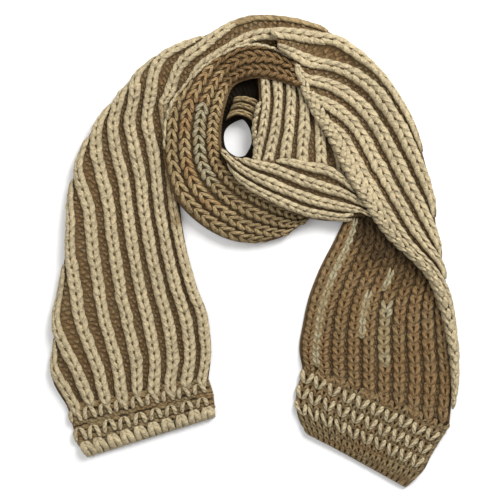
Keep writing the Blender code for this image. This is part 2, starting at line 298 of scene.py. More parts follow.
def smooth_rows(table, closed, step):
    """The table's rows joined by a smooth curve and read off every `step` along the cloth's middle."""
    rows = np.array(table, dtype=float)
    if closed:
        rows = np.vstack((rows[-1:], rows, rows[:2]))
    middles = (rows[:, 0:2] + rows[:, 2:4]) / 2
    spans = np.linalg.norm(np.diff(middles, axis=0), axis=1)
    travel = np.concatenate(([0.0], np.cumsum(np.maximum(spans, 1.0))))
    slopes = np.gradient(rows, travel, axis=0)
    first, last = (1, len(rows) - 2) if closed else (0, len(rows) - 1)
    count = max(2, int(round((travel[last] - travel[first]) / step)))
    stations = np.linspace(travel[first], travel[last], count + 1)
    below = np.clip(np.searchsorted(travel, stations, side="right") - 1, 0, len(rows) - 2)
    width = (travel[below + 1] - travel[below])[:, None]
    part = (stations - travel[below])[:, None] / width
    start, end = rows[below], rows[below + 1]
    return (
        start * (2 * part**3 - 3 * part**2 + 1)
        + slopes[below] * width * (part**3 - 2 * part**2 + part)
        + end * (3 * part**2 - 2 * part**3)
        + slopes[below + 1] * width * (part**3 - part**2)
    )


def edge_round(distance, radius):
    """0 at an edge and 1 from `radius` inwards, along a quarter circle."""
    share = np.clip(1 - distance / radius, 0.0, 1.0)
    return np.sqrt(np.maximum(1 - share**2, 0.0))


def fold_height(distance):
    """How a fold's extra height fades away from its edge."""
    return np.cos(np.clip(distance / FOLD_REACH, 0.0, 1.0) * math.pi / 2) ** 2


def edge_margin(width):
    """How near an edge the last rib may lie, and how gradually the ribs before it close up."""
    return np.minimum(EDGE_HUG, 0.05 * width), np.minimum(EDGE_EASE, 0.10 * width)


def crowd(distance, margin, ease):
    """A distance from an edge, eased so that it never falls under the margin."""
    return margin + ease * np.logaddexp(0.0, (distance - margin) / ease)


def uncrowd(distance, margin, ease):
    """The distance that `crowd` would turn into this one."""
    return margin + ease * np.log(np.expm1(np.clip((distance - margin) / ease, 0.05, 40.0)))


class HeightMap:
    """The top of each stretch that has been laid, on a square grid over the floor."""

    def __init__(self):
        self.size = int(2 * RASTER_HALF / RASTER) + 1
        self.layers = {}

    def cells(self, x, y):
        column = np.clip(np.rint((x + RASTER_HALF) / RASTER).astype(int), 0, self.size - 1)
        row = np.clip(np.rint((y + RASTER_HALF) / RASTER).astype(int), 0, self.size - 1)
        return row, column

    def add(self, name, points):
        layer = np.zeros((self.size, self.size))
        corner, ahead = points[:-1, :-1], points[1:, :-1]
        beside, across = points[:-1, 1:], points[1:, 1:]
        for s in np.linspace(0.0, 1.0, 6):
            for t in np.linspace(0.0, 1.0, 6):
                spot = (corner * (1 - s) + ahead * s) * (1 - t) + (beside * (1 - s) + across * s) * t
                row, column = self.cells(spot[..., 0], spot[..., 1])
                np.maximum.at(layer, (row, column), spot[..., 2])
        self.layers[name] = layer

    def support(self, x, y, reach, skip):
        """The highest top within `reach` of each point, among the stretches laid so far."""
        total = np.zeros((self.size, self.size))
        for name, layer in self.layers.items():
            if name != skip:
                total = np.maximum(total, layer)
        steps = int(math.ceil(reach / RASTER))
        wide = total.copy()
        for down in range(-steps, steps + 1):
            for over in range(-steps, steps + 1):
                if down * down + over * over <= steps * steps:
                    wide = np.maximum(wide, np.roll(total, (down, over), axis=(0, 1)))
        row, column = self.cells(x, y)
        return wide[row, column]


def neighbour_mean(height, closed):
    """The mean of each point's four neighbours, with the rim repeated."""
    along = np.pad(height, ((1, 1), (0, 0)), mode="wrap" if closed else "edge")
    across = np.pad(height, ((0, 0), (1, 1)), mode="edge")
    return (along[:-2] + along[2:] + across[:, :-2] + across[:, 2:]) / 4


def settle(needed, held, closed):
    """Lets the cloth hang taut between its supports: never below them, never sharply bent."""
    height = needed.copy()
    for _ in range(SETTLE_PASSES):
        height = np.maximum(needed, neighbour_mean(height, closed) - SAG)
        height[held] = needed[held]
    return height


class Stretch:
    """One stretch of cloth: where its two faces lie, and which rib is where."""

    def __init__(self, name, heights):
        table, layer, on_floor, start, end, runs_on_from = STACK[name]
        self.name, self.start, self.end = name, start, end
        self.closed = start == "closed"
        self.thickness = LAYER_MM[layer]
        rows = smooth_rows(table, self.closed, SETTLE_STEP)
        self.left, self.right = rows[:, 0:2], rows[:, 2:4]
        self.folds, self.ribs = rows[:, 4:6], rows[:, 6:9]
        self.widths = np.linalg.norm(self.right - self.left, axis=1)
        middles = (self.left + self.right) / 2
        self.travel = np.concatenate(([0.0], np.cumsum(np.linalg.norm(np.diff(middles, axis=0), axis=1))))
        self.length = self.travel[-1]
        heading = np.gradient(middles, axis=0)
        self.heading = heading / np.linalg.norm(heading, axis=1, keepdims=True)
        self.radii = np.minimum(self.thickness * 0.9 + 0.5 * self.folds.max(axis=1), 0.45 * self.widths)
        count = max(5, int(round(self.widths.max() / SETTLE_STEP)) + 1)
        shares = np.linspace(0.0, 1.0, count)
        flat = self.left[:, None, :] + (self.right - self.left)[:, None, :] * shares[:, None]
        if on_floor:
            self.bottom = np.zeros(flat.shape[:2])
        else:
            needed = heights.support(flat[..., 0], flat[..., 1], SETTLE_STEP * 1.2, runs_on_from)
            needed = np.where(needed > 0, needed + LAYER_GAP, 0.0)
            held = np.zeros(needed.shape, dtype=bool)
            held[:, 0] = self.folds[:, 0] > 0
            held[:, -1] = self.folds[:, 1] > 0
            self.bottom = settle(needed, held, self.closed)
            for _ in range(2):
                self.bottom = neighbour_mean(self.bottom, self.closed)
        across = shares[None, :] * self.widths[:, None]
        self.full = (
            self.bottom + self.thickness
            + self.folds[:, 0:1] * fold_height(across)
            + self.folds[:, 1:2] * fold_height(self.widths[:, None] - across)
        )
        heights.add(name, self.surface(*np.meshgrid(self.travel, shares, indexing="ij")))

    def along(self, values, travel):
        """A value per station, read at any travel."""
        values = np.asarray(values)
        if values.ndim == 1:
            return np.interp(travel, self.travel, values)
        return np.stack([np.interp(travel, self.travel, column) for column in values.T], axis=-1)

    def grid(self, values, travel, share):
        """A value per station and share, read anywhere."""
        at = np.interp(travel, self.travel, np.arange(len(self.travel)))
        row = np.clip(at.astype(int), 0, len(self.travel) - 2)
        s = np.clip(share, 0, 1) * (values.shape[1] - 1)
        column = np.clip(s.astype(int), 0, values.shape[1] - 2)
        p, q = at - row, s - column
        return (
            values[row, column] * (1 - p) * (1 - q) + values[row + 1, column] * p * (1 - q)
            + values[row, column + 1] * (1 - p) * q + values[row + 1, column + 1] * p * q
        )

    def share_of_rib(self, travel, rib):
        """How far across the cloth a rib lies, with ribs past an edge one common step apart."""
        left, middle, right = (self.along(self.ribs[:, k], travel) for k in range(3))
        step = HIDDEN_RIB_MM / self.along(self.widths, travel)
        inside = np.clip(rib, left, right)
        a = 2 * left - 4 * middle + 2 * right
        b = -3 * left + 4 * middle - right
        root = np.sqrt(np.maximum(b * b + 4 * a * (inside - left), 1e-6))
        return 2 * (inside - left) / (b + root) + (rib - inside) * step

    def rib_of_share(self, travel, share):
        """Which rib lies at a share of the way across."""
        left, middle, right = (self.along(self.ribs[:, k], travel) for k in range(3))
        return (
            left * (2 * share - 1) * (share - 1) + middle * 4 * share * (1 - share)
            + right * share * (2 * share - 1)
        )

    def hug(self, travel, share):
        """Where a rib shows: near an edge the cloth rolls away, so the ribs crowd towards it."""
        width = self.along(self.widths, travel)
        margin, ease = edge_margin(width)
        from_left = crowd(share * width, margin, ease)
        return 1 - crowd(width - from_left, margin, ease) / width

    def unhug(self, travel, share):
        """The place before crowding of what shows at a share of the way across."""
        width = self.along(self.widths, travel)
        margin, ease = edge_margin(width)
        from_right = uncrowd((1 - share) * width, margin, ease)
        return uncrowd(width - from_right, margin, ease) / width

    def crowding(self, travel, share):
        """1 in the open and less near the edges, where ribs are crowded."""
        step = 0.002
        return (self.hug(travel, share + step) - self.hug(travel, share - step)) / (2 * step)

    def room_at_edge(self, travel, rib):
        """1 or more where a rib shows in full, down to 0 where the next one has pushed it off the edge."""
        width = float(self.along(self.widths, travel))
        here, after, before = (float(self.share_of_rib(travel, rib + step)) * width for step in (0, 1, -1))
        room = 9.0
        if here < 1.0:
            room = min(room, (after - ROOM_AT_EDGE) / 3.0)
        if here > width - 1.0:
            room = min(room, (width - before - ROOM_AT_EDGE) / 3.0)
        return room

    def surface(self, travel, share, inset=0.0, sink=0.0):
        """A point on the cloth, `sink` under the top of the solid, wrapping down past either edge."""
        over = travel - np.clip(travel, 0.0, self.length)
        travel = travel - over
        width = self.along(self.widths, travel)
        inset = np.minimum(inset, 0.3 * width)
        span = width - 2 * inset
        from_left = inset + share * span
        past = np.maximum(inset - from_left, 0) + np.maximum(from_left - (width - inset), 0)
        from_left = np.clip(from_left, inset, width - inset)
        inner = (from_left / width)[..., None]
        flat = self.along(self.left, travel) * (1 - inner) + self.along(self.right, travel) * inner
        flat = flat + self.along(self.heading, travel) * over[..., None]
        bottom = self.grid(self.bottom, travel, from_left / width)
        full = self.grid(self.full, travel, from_left / width) - sink
        turn = self.along(self.radii, travel)
        rounding = edge_round(from_left - inset, turn) * edge_round(width - inset - from_left, turn)
        if self.start == "free":
            rounding = rounding * edge_round(travel - inset, self.thickness)
        if self.end == "free":
            rounding = rounding * edge_round(self.length - inset - travel, self.thickness)
        lip = bottom + EDGE_LIP
        height = lip + np.maximum(full - lip, 0) * rounding - past
        return np.concatenate((flat, np.maximum(height, bottom + 0.3)[..., None]), axis=-1)

    def rib_width(self, travel, rib):
        """The width of one rib, in millimetres, at a place on the cloth."""
        step = 0.1
        ahead, behind = self.share_of_rib(travel, rib + step), self.share_of_rib(travel, rib - step)
        return np.maximum((ahead - behind) / (2 * step) * self.along(self.widths, travel), 1.0)

    def place(self, travel, share, lift, inset, sink):
        """Points over the cloth: `lift` above it, along its own normal."""
        reach = 0.6 * RIB_MM
        first = -reach if self.start in JOINED else 0.0
        last = self.length + (reach if self.end in JOINED else 0.0)
        travel = np.clip(travel, first, last)
        spot = self.surface(travel, share, inset, sink)
        width = np.maximum(self.along(self.widths, travel), 1.0)
        ahead, behind = (self.surface(travel + step, share, inset, sink) for step in (1.5, -1.5))
        right, left = (self.surface(travel, share + step / width, inset, sink) for step in (1.5, -1.5))
        normal = np.cross(right - left, ahead - behind)
        normal /= np.maximum(np.linalg.norm(normal, axis=-1, keepdims=True), 1e-9)
        normal = np.where(normal[..., 2:3] < 0, -normal, normal)
        normal[..., 2] += EDGE_UPRIGHT
        normal /= np.linalg.norm(normal, axis=-1, keepdims=True)
        return spot + normal * lift[..., None]


def lay_cloth():
    """Every stretch, laid from the floor up."""
    heights = HeightMap()
    return {name: Stretch(name, heights) for name in STACK}


# ---- Yarn ----

def rib_profile(rib):
    """1 on top of a rib and 0 in the valley beside it."""
    return (0.5 + 0.5 * np.cos(2 * math.pi * rib)) ** 0.7


def strand(x, y, rise, swell, sides, wide=0.0, thick=0.0, drop=0.0):
    """A tube of yarn round a line: its points across, along and up, its UVs and its faces."""
    steps = len(swell)
    turn = np.linspace(0.0, math.tau, sides, endpoint=False)
    x, y, rise, swell = (values[:, None] for values in (x, y, rise, swell))
    x = x + wide * swell * np.cos(turn)
    y = y + thick * swell * np.cos(turn)
    z = rise + swell * np.sin(turn) - drop * x**2
    uv = np.stack(np.broadcast_arrays(turn / math.tau, np.linspace(0.0, 1.0, steps)[:, None]), axis=-1)
    faces = []
    for i in range(0, (steps - 1) * sides, sides):
        for j in range(sides):
            k = (j + 1) % sides
            faces.append((i + j, i + k, i + sides + k, i + sides + j))
    faces.append(tuple(range(sides - 1, -1, -1)))
    faces.append(tuple(range((steps - 1) * sides, steps * sides)))
    return np.stack((x, y, z), axis=-1).reshape(-1, 3), uv.reshape(-1, 2), faces


def turned(points, uv, faces):
    """The same piece of yarn with its faces turned round, for one that has been mirrored."""
    return points, uv, [face[::-1] for face in faces]


def leg_template(mirror, tall=1.95, foot=0.035, spread=0.175, plump=0.165, bend=0.7, drop=5.5, flip=False):
    """One leg of a stitch: across in ribs, along in rows, up in yarn heights."""
    sizes = bpy.context.scene.scarf_sizes
    q = np.linspace(0.0, 1.0, sizes.leg_steps)
    points, uv, faces = strand(
        foot + spread * np.sin(q * math.pi / 2) ** bend, (q - 0.5) * tall,
        0.9 * np.sin(math.pi * (0.03 + 0.84 * q)) ** 0.8, np.sin(math.pi * (0.10 + 0.80 * q)) ** 0.42,
        sizes.leg_sides, wide=plump, drop=drop)
    points = points * (-1 if mirror else 1, -1 if flip else 1, 1)
    return turned(points, uv, faces) if mirror != flip else (points, uv, faces)


def bar_template():
    """A short bar of yarn that lies across the cloth."""
    sizes = bpy.context.scene.scarf_sizes
    q = np.linspace(-1.0, 1.0, sizes.leg_steps - 1)
    bow, rise, swell = 0.18 * q**2, 0.5 * (1 - q**2), np.cos(1.2 * q) ** 0.5
    return turned(*strand(q, bow, rise, swell, sizes.leg_sides - 2, thick=0.30))


def slant_template(lean, long, thick):
    """A plump, slanted piece of yarn, as along a cast-off edge."""
    sizes = bpy.context.scene.scarf_sizes
    q = np.linspace(-1.0, 1.0, sizes.leg_steps)
    rise, swell = 0.6 * (1 - q**2), np.cos(1.25 * q) ** 0.5
    return strand(lean * q, long * q, rise, swell, sizes.leg_sides, wide=thick)


def joined_mesh(name, points, faces, uvs, material):
    """One mesh object from many points in millimetres, shaded smooth."""
    mesh = bpy.data.meshes.new(name)
    mesh.from_pydata((points * MM).tolist(), [], faces)
    layer = mesh.uv_layers.new(name="yarn")
    loops = np.zeros(len(mesh.loops), dtype=np.int64)
    mesh.loops.foreach_get("vertex_index", loops)
    layer.data.foreach_set("uv", uvs[loops].ravel())
    mesh.materials.append(material)
    mesh.shade_smooth()
    mesh.update()
    piece = bpy.data.objects.new(name, mesh)
    bpy.context.scene.collection.objects.link(piece)
    return piece


def lay_stitches(name, stretch, spots, template, material, sink, measure="rib"):
    """Copies of one piece of yarn, each bent to lie on the cloth, `sink` under the top of the solid.

    A spot is travel, place across, width, height and length.  The place across is a rib number, or for the
    measures "left" and "right" a distance from that edge.
    """
    points, uv, faces = template
    spots = np.array(spots, dtype=float)
    travel = spots[:, 0:1] + points[None, :, 1] * spots[:, 4:5]
    offset = points[None, :, 0] * spots[:, 2:3]
    lift = points[None, :, 2] * spots[:, 3:4]
    width = stretch.along(stretch.widths, travel)
    if measure == "rib":
        share = stretch.hug(travel, stretch.share_of_rib(travel, spots[:, 1:2]))
        share = share + offset * stretch.rib_width(travel, spots[:, 1:2]) / width
    else:
        share = (spots[:, 1:2] + offset) / width
        share = share if measure == "left" else 1 - share
    placed = stretch.place(travel, share, lift, size_mm("edge_inset"), sink)
    copies, size = placed.shape[:2]
    corners = np.concatenate([np.array(face) for face in faces])
    corners = (corners[None, :] + size * np.arange(copies)[:, None]).ravel()
    bounds = np.concatenate(([0], np.cumsum(np.tile([len(face) for face in faces], copies))))
    all_faces = [corners[a:b].tolist() for a, b in zip(bounds[:-1], bounds[1:])]
    return joined_mesh(name, placed.reshape(-1, 3), all_faces, np.tile(uv, (copies, 1)), material)


def ride_as(piece):
    """Fixes a piece to the scarf."""
    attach(piece, "root")
    return piece


def knit_legs(name, stretch, spots, material, slot, sink, **leg):
    """Both legs of each stitch, joined into one piece."""
    legs = [
        lay_stitches(f"{name}_{side}", stretch, spots, leg_template(side, **leg), material, sink)
        for side in (False, True)
    ]
    with bpy.context.temp_override(
            active_object=legs[0], selected_editable_objects=legs, selected_objects=legs):
        bpy.ops.object.join()
    legs[0].name = legs[0].data.name = name
    return ride_as(legs[0])


def lay_bars(name, stretch, spots, material, sink):
    """Short bars of yarn, as one piece."""
    return ride_as(lay_stitches(name, stretch, spots, bar_template(), material, sink))


# ---- Materials ----

def new_group(name, inputs, outputs):
    """An empty shader node group with named sockets."""
    group = bpy.data.node_groups.new(name, "ShaderNodeTree")
    for label, kind, default in inputs:
        socket = group.interface.new_socket(label, in_out="INPUT", socket_type=kind)
        if default is not None:
            socket.default_value = default
    for label, kind in outputs:
        group.interface.new_socket(label, in_out="OUTPUT", socket_type=kind)
    return group, group.nodes.new("NodeGroupInput"), group.nodes.new("NodeGroupOutput")


def math_node(group, operation, first, second=None):
    """One Math node with its inputs linked or set."""
    node = group.nodes.new("ShaderNodeMath")
    node.operation = operation
    for socket, value in zip(node.inputs, (first, second)):
        if value is None:
            continue
        if isinstance(value, (int, float)):
            socket.default_value = value
        else:
            group.links.new(value, socket)
    return node.outputs[0]


def ramp_node(group, value, low, high):
    """A value stretched so that low becomes 0 and high becomes 1."""
    node = group.nodes.new("ShaderNodeMapRange")
    node.inputs["From Min"].default_value = low
    node.inputs["From Max"].default_value = high
    group.links.new(value, node.inputs["Value"])
    return node.outputs[0]


def noise_node(group, place, scale, detail):
    """Soft noise of a given scale."""
    node = group.nodes.new("ShaderNodeTexNoise")
    node.inputs["Scale"].default_value = scale
    node.inputs["Detail"].default_value = detail
    group.links.new(place, node.inputs["Vector"])
    return node.outputs["Fac"]


def mix_node(group, factor, first, second):
    """Two colours mixed by a factor."""
    node = group.nodes.new("ShaderNodeMix")
    node.data_type = "RGBA"
    group.links.new(factor, node.inputs["Factor"])
    group.links.new(first, node.inputs[6])
    group.links.new(second, node.inputs[7])
    return node.outputs[2]


def yarn_colour_group():
    """Yarn colour with long streaks of a second shade, soft marl and small dark flecks."""
    group, given, result = new_group(
        "Yarn marl",
        (
            ("Yarn", "NodeSocketColor", None), ("Second", "NodeSocketColor", None),
            ("Shade", "NodeSocketColor", None), ("Streaks", "NodeSocketFloat", 0.3),
            ("Fleck", "NodeSocketFloat", 0.3),
        ),
        (("Colour", "NodeSocketColor"),),
    )
    place = group.nodes.new("ShaderNodeTexCoord").outputs["Object"]
    patches = ramp_node(group, noise_node(group, place, 38.0, 2.0), 0.42, 0.62)
    streaks = math_node(group, "MULTIPLY", patches, given.outputs["Streaks"])
    base = mix_node(group, streaks, given.outputs["Yarn"], given.outputs["Second"])
    marl = ramp_node(group, noise_node(group, place, 150.0, 2.0), 0.35, 0.7)
    marl = math_node(group, "MULTIPLY", marl, 0.25)
    specks = ramp_node(group, noise_node(group, place, 400.0, 3.0), 0.47, 0.66)
    flecks = math_node(group, "MULTIPLY", specks, given.outputs["Fleck"])
    mixed = mix_node(group, math_node(group, "ADD", marl, flecks), base, given.outputs["Shade"])
    group.links.new(mixed, result.inputs["Colour"])
    return group


def yarn_twist_group():
    """Height of plied, fuzzy yarn: slanted plies along the strand, and loose fibres."""
    group, given, result = new_group(
        "Yarn twist",
        (
            ("Plies", "NodeSocketFloat", 2.0), ("Turns", "NodeSocketFloat", 2.0),
            ("Fuzz", "NodeSocketFloat", 1.4),
        ),
        (("Height", "NodeSocketFloat"),),
    )
    uv = group.nodes.new("ShaderNodeUVMap")
    uv.uv_map = "yarn"
    split = group.nodes.new("ShaderNodeSeparateXYZ")
    group.links.new(uv.outputs["UV"], split.inputs[0])
    around = math_node(group, "MULTIPLY", split.outputs["X"], given.outputs["Plies"])
    along = math_node(group, "MULTIPLY", split.outputs["Y"], given.outputs["Turns"])
    twist = math_node(group, "MULTIPLY", math_node(group, "ADD", around, along), math.pi)
    wave = math_node(group, "SINE", twist)
    plies = math_node(group, "POWER", math_node(group, "ABSOLUTE", wave), 0.6)
    place = group.nodes.new("ShaderNodeTexCoord").outputs["Object"]
    fuzz = math_node(group, "MULTIPLY", noise_node(group, place, 420.0, 5.0), given.outputs["Fuzz"])
    group.links.new(math_node(group, "ADD", plies, fuzz), result.inputs["Height"])
    return group


def shared_group(name):
    """The node group of that name, built the first time it is asked for."""
    found = bpy.data.node_groups.get(name)
    if found:
        return found
    return {"Yarn marl": yarn_colour_group, "Yarn twist": yarn_twist_group}[name]()


YARN_FINISH = {
    "Roughness": 0.92,
    "Specular IOR Level": 0.12,
    "Sheen Roughness": 0.5,
    "Sheen Tint": (1.0, 0.95, 0.85, 1.0),
}


def yarn_material(name, yarn, second, shade, streaks=0.6, fleck=0.55, relief=1.0, sheen=0.05):
    """A matt, plied, slightly fuzzy yarn, streaked with a second colour and flecked with a shade."""
    material = bpy.data.materials.get(name + "_looks")
    if material:
        return material
    material = bpy.data.materials.new(name + "_looks")
    material.use_nodes = True
    tree = material.node_tree
    shader = tree.nodes["Principled BSDF"]
    marl = tree.nodes.new("ShaderNodeGroup")
    marl.node_tree = shared_group("Yarn marl")
    for socket, value in zip(marl.inputs, (yarn, second, shade, streaks, fleck)):
        socket.default_value = value
    tree.links.new(marl.outputs["Colour"], shader.inputs["Base Color"])
    twist = tree.nodes.new("ShaderNodeGroup")
    twist.node_tree = shared_group("Yarn twist")
    bump = tree.nodes.new("ShaderNodeBump")
    bump.inputs["Strength"].default_value = relief
    bump.inputs["Distance"].default_value = 1.3 * MM
    tree.links.new(twist.outputs["Height"], bump.inputs["Height"])
    tree.links.new(bump.outputs["Normal"], shader.inputs["Normal"])
    shader.inputs["Sheen Weight"].default_value = sheen
    for label, value in YARN_FINISH.items():
        shader.inputs[label].default_value = value
    return material


def dyed(name, strength=1.0):
    """One of the scarf's colours, darker or lighter."""
    red, green, blue, _ = getattr(bpy.context.scene.scarf_colours, name)
    return (red * strength, green * strength, blue * strength, 1.0)


def cream_yarn():
    return yarn_material("cream_yarn", dyed("cream"), dyed("cream", 0.82), dyed("cream", 0.36), sheen=0.06)


def khaki_yarn():
    return yarn_material(
        "khaki_yarn", dyed("khaki", 1.25), dyed("khaki", 0.85), dyed("brown", 0.5), streaks=0.9)


# Cream dimmed to 0.84 and streaked with khaki: the two yarns' mixed colour, and beside the ring on the left
# tail painted shade.
def dusty_yarn():
    return yarn_material("dusty_yarn", dyed("cream", 0.84), dyed("khaki"), dyed("brown", 0.6), streaks=1.0)


def pale_yarn():
    return yarn_material("pale_yarn", dyed("pale"), dyed("khaki"), dyed("khaki", 0.5), streaks=1.0, fleck=0.5)


def brown_yarn():
    return yarn_material(
        "brown_yarn", dyed("brown"), dyed("khaki", 0.85), dyed("brown", 0.36), streaks=0.45, fleck=0.6,
        sheen=0.04)


def ring_yarn():
    return yarn_material(
        "ring_yarn", dyed("brown", 1.3), dyed("khaki", 1.3), dyed("brown", 0.6), streaks=1.0,
        sheen=0.04)


def band_brown_yarn():
    return yarn_material(
        "band_brown_yarn", dyed("khaki", 0.78), dyed("brown", 0.95), dyed("brown", 0.4), streaks=0.8)


# Brown of the purl bumps in the valleys, darker than the brown: the real brown yarn, partly with painted
# shade of the valleys.
def deep_brown_yarn():
    return yarn_material(
        "deep_brown_yarn", dyed("brown", 0.86), dyed("khaki", 0.66), dyed("brown", 0.344), streaks=1.0,
        fleck=0.5, relief=0.8)


def plain_brown(name, strength, light, dark, **looks):
    """Brown yarn with its streaks and flecks in lighter and darker browns."""
    yarn, second, shade = (dyed("brown", strength * factor) for factor in (1.0, light, dark))
    return yarn_material(name, yarn, second, shade, sheen=0.0, **looks)


def shaded_yarn(strength):
    """Brown yarn darkened to a share of its colour: painted shade, as under the edge of a stretch that lies
    over it.
    """
    return plain_brown(f"shaded_yarn_{int(100 * strength)}", strength, light=1.25, dark=0.4)


# Brown for the valleys and the gaps between legs, darkened to 0.55 of the brown: the real brown yarn there,
# with painted shade of the deep gaps.
def valley_yarn():
    return plain_brown("valley_yarn", 0.55, light=1.3, dark=0.5, streaks=0.5, fleck=0.5, relief=0.8)


# Nearly black brown for the hidden folds under the loop: painted shadow.
def hidden_yarn():
    return plain_brown("hidden_yarn", 0.035, light=1.5, dark=0.5, streaks=0.5, fleck=0.5)


# ---- Building a stretch ----

def cloth_shell(stretch, material, ribbed=True, inset=None, nodes=None):
    """The cloth of a stretch as a thin closed shell: ribbed above, flat below."""
    inset = size_mm("edge_inset") if inset is None else inset
    depth = size_mm("valley_depth")
    rows = max(4, int(round(stretch.length / SHELL_ALONG)) + 1)
    columns = min(MAX_SHELL_COLUMNS, max(8, int(round(stretch.widths.max() / SHELL_ACROSS))))
    first = -TUCK if stretch.start == "tucked" else 0.0
    last = stretch.length + (TUCK if stretch.end == "tucked" else 0.0)
    even = np.linspace(0.0, 1.0, columns)
    shares = 0.5 * (0.5 - 0.5 * np.cos(math.pi * even)) + 0.5 * even
    travel, shares = np.meshgrid(np.linspace(first, last, rows), shares, indexing="ij")
    rib = stretch.rib_of_share(travel, stretch.unhug(travel, shares))
    rise = size_mm("rib_rise") * rib_profile(rib) if ribbed else 0 * rib
    top = stretch.surface(travel, shares, inset, depth - rise)
    bottom = stretch.surface(travel, shares, inset, depth)
    bottom[..., 2] = np.minimum(stretch.grid(stretch.bottom, travel, shares) + 0.2, top[..., 2] - 0.3)
    points = np.concatenate((top.reshape(-1, 3), bottom.reshape(-1, 3)))
    base = rows * columns
    index = np.arange(base).reshape(rows, columns)
    a, b, c, d = index[:-1, :-1], index[:-1, 1:], index[1:, 1:], index[1:, :-1]
    quads = [
        np.stack((a, b, c, d), axis=-1).reshape(-1, 4),
        np.stack((a, d, c, b), axis=-1).reshape(-1, 4) + base,
    ]
    for rim, flip in ((index[:, 0], False), (index[:, -1], True), (index[0], True), (index[-1], False)):
        wall = np.stack((rim[:-1], rim[1:], rim[1:] + base, rim[:-1] + base), axis=-1)
        quads.append(wall[:, ::-1] if flip else wall)
    faces = np.concatenate(quads)
    corner = points[faces]
    volume = np.einsum("ij,ij->i", corner[:, 0], np.cross(corner[:, 1], corner[:, 2])).sum()
    if volume < 0:
        faces = faces[:, ::-1]
    uvs = np.tile(np.stack((rib.ravel(), travel.ravel() / 10.0), axis=-1), (2, 1))
    shell = joined_mesh(stretch.name + "_cloth", points, faces.tolist(), uvs, material)
    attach(shell, "root")
    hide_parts(*(nodes or (stretch.name,)))
    return shell


def rib_spots(stretch, ribs, past, seed, rib_mm=RIB_MM, tight=True):
    """Where the stitches of each rib sit, no wider than a rib's real width.

    A rib is its number and the shares of the stretch between which it shows.  `past` says how many
    millimetres outside the edges a rib may lie and still show.  `tight` ribs crowd and thin out at an edge.
    """
    pitch = size_mm("stitch_pitch")
    random = np.random.default_rng(seed)
    spots = []
    for rib, first, last in ribs:
        travel = pitch * (0.37 * (int(rib * 2) % 3) - ROWS_PAST_END[stretch.start])
        while travel < stretch.length + ROWS_PAST_END[stretch.end] * pitch:
            inside = min(max(travel, 0.0), stretch.length)
            here = np.array(inside)
            share = float(stretch.share_of_rib(here, rib))
            width = float(stretch.along(stretch.widths, here))
            room = stretch.room_at_edge(here, rib) if tight else 1.0
            on_cloth = -past <= share * width <= width + past
            if on_cloth and first <= inside / stretch.length <= last and room > 0:
                shake = random.normal(0.0, 1.0, 4)
                fill = min(1.08, rib_mm / float(stretch.rib_width(here, rib)))
                thin = min(1.0, 0.5 + 0.5 * room)
                if tight:
                    fill *= (0.45 + 0.55 * float(stretch.crowding(here, share))) * thin
                spots.append((
                    travel + shake[0] * SHAKE_ALONG, rib + shake[1] * SHAKE_ACROSS,
                    fill * (1 + shake[2] * SHAKE_WIDTH),
                    size_mm("yarn_height") * thin * (1 + shake[3] * SHAKE_HEIGHT), pitch,
                ))
            travel += pitch
    return spots


def knit_ribs(stretch, ribs, material, slot, suffix="_ribs", seed=1, rib_mm=RIB_MM, narrow=1.0, low=0.0,
              **leg):
    """The stitches on the given ribs of a stretch, as a list that is empty if none show."""
    spots = rib_spots(stretch, ribs, PAST_EDGE, seed, rib_mm)
    spots = [(t, r, w * narrow, h, p) for t, r, w, h, p in spots]
    if not spots:
        return []
    return [knit_legs(stretch.name + suffix, stretch, spots, material, slot, rib_top() + low, **leg)]


def knit_eyes(stretch, ribs, seed):
    """The dark little gap between the two legs of each stitch, where the strand behind shows; its dark brown
    is partly painted shade.
    """
    spots = [(t + 0.12 * p, r, w, h * 0.62, p) for t, r, w, h, p in rib_spots(stretch, ribs, -2.0, seed)]
    sink = rib_top() - 0.95 * size_mm("yarn_height")
    template = slant_template(lean=0.0, long=0.17, thick=0.066)
    eyes = lay_stitches(stretch.name + "_eyes", stretch, spots, template, valley_yarn(), sink)
    return ride_as(eyes)


def knit_valleys(stretch, valleys, seed, rib_mm=RIB_MM):
    """The purl bumps that show in each valley: two interlocking rows of short bars."""
    middles = [(valley + 0.5, 0.0, 1.0) for valley in valleys]
    bumps = []
    for travel, rib, fill, height, pitch in rib_spots(stretch, middles, -1.0, seed, rib_mm, tight=False):
        here = np.array(min(max(travel, 0.0), stretch.length))
        crowding = float(stretch.crowding(here, stretch.share_of_rib(here, rib)))
        half = 0.5 * max(1 - 0.74 * fill, 0.20) * crowding
        for side, ahead in ((-1, 0.0), (1, pitch / 2)):
            bumps.append((travel + ahead, rib + 0.42 * side * half, 0.62 * half, height * 0.62, pitch * 0.72))
    return lay_bars(
        stretch.name + "_valleys", stretch, bumps, deep_brown_yarn(), size_mm("valley_depth"))


def knit_chain(stretch, suffix, side, inwards, thick, lean, long, pitch, low, seed, start=0.0, stop=1.0,
               taper=0.0):
    """A cream selvedge: slanted, overlapping pieces of yarn along one edge, thin at tapered ends."""
    random = np.random.default_rng(seed)
    spots = []
    travel = stretch.length * start + pitch * 0.5
    while travel < stretch.length * stop:
        shake = random.normal(0.0, 1.0, 4)
        size, share = 1.0, travel / stretch.length
        if taper:
            size = min(1.0, 0.55 + 0.45 * (1 - share) / taper, 0.45 + 0.55 * (share - start) / 0.10)
        spots.append((
            travel + shake[0] * 0.5, inwards * size + shake[1] * 0.35, size * (1 + 0.06 * shake[3]),
            size_mm("yarn_height") * size * (1 + 0.10 * shake[2]), 1.0,
        ))
        travel += pitch
    template = slant_template(lean, long, thick)
    template = turned(*template) if side == "right" else template
    chain = lay_stitches(stretch.name + suffix, stretch, spots, template, cream_yarn(), rib_top() + low, side)
    return ride_as(chain)


CLOTH = {}


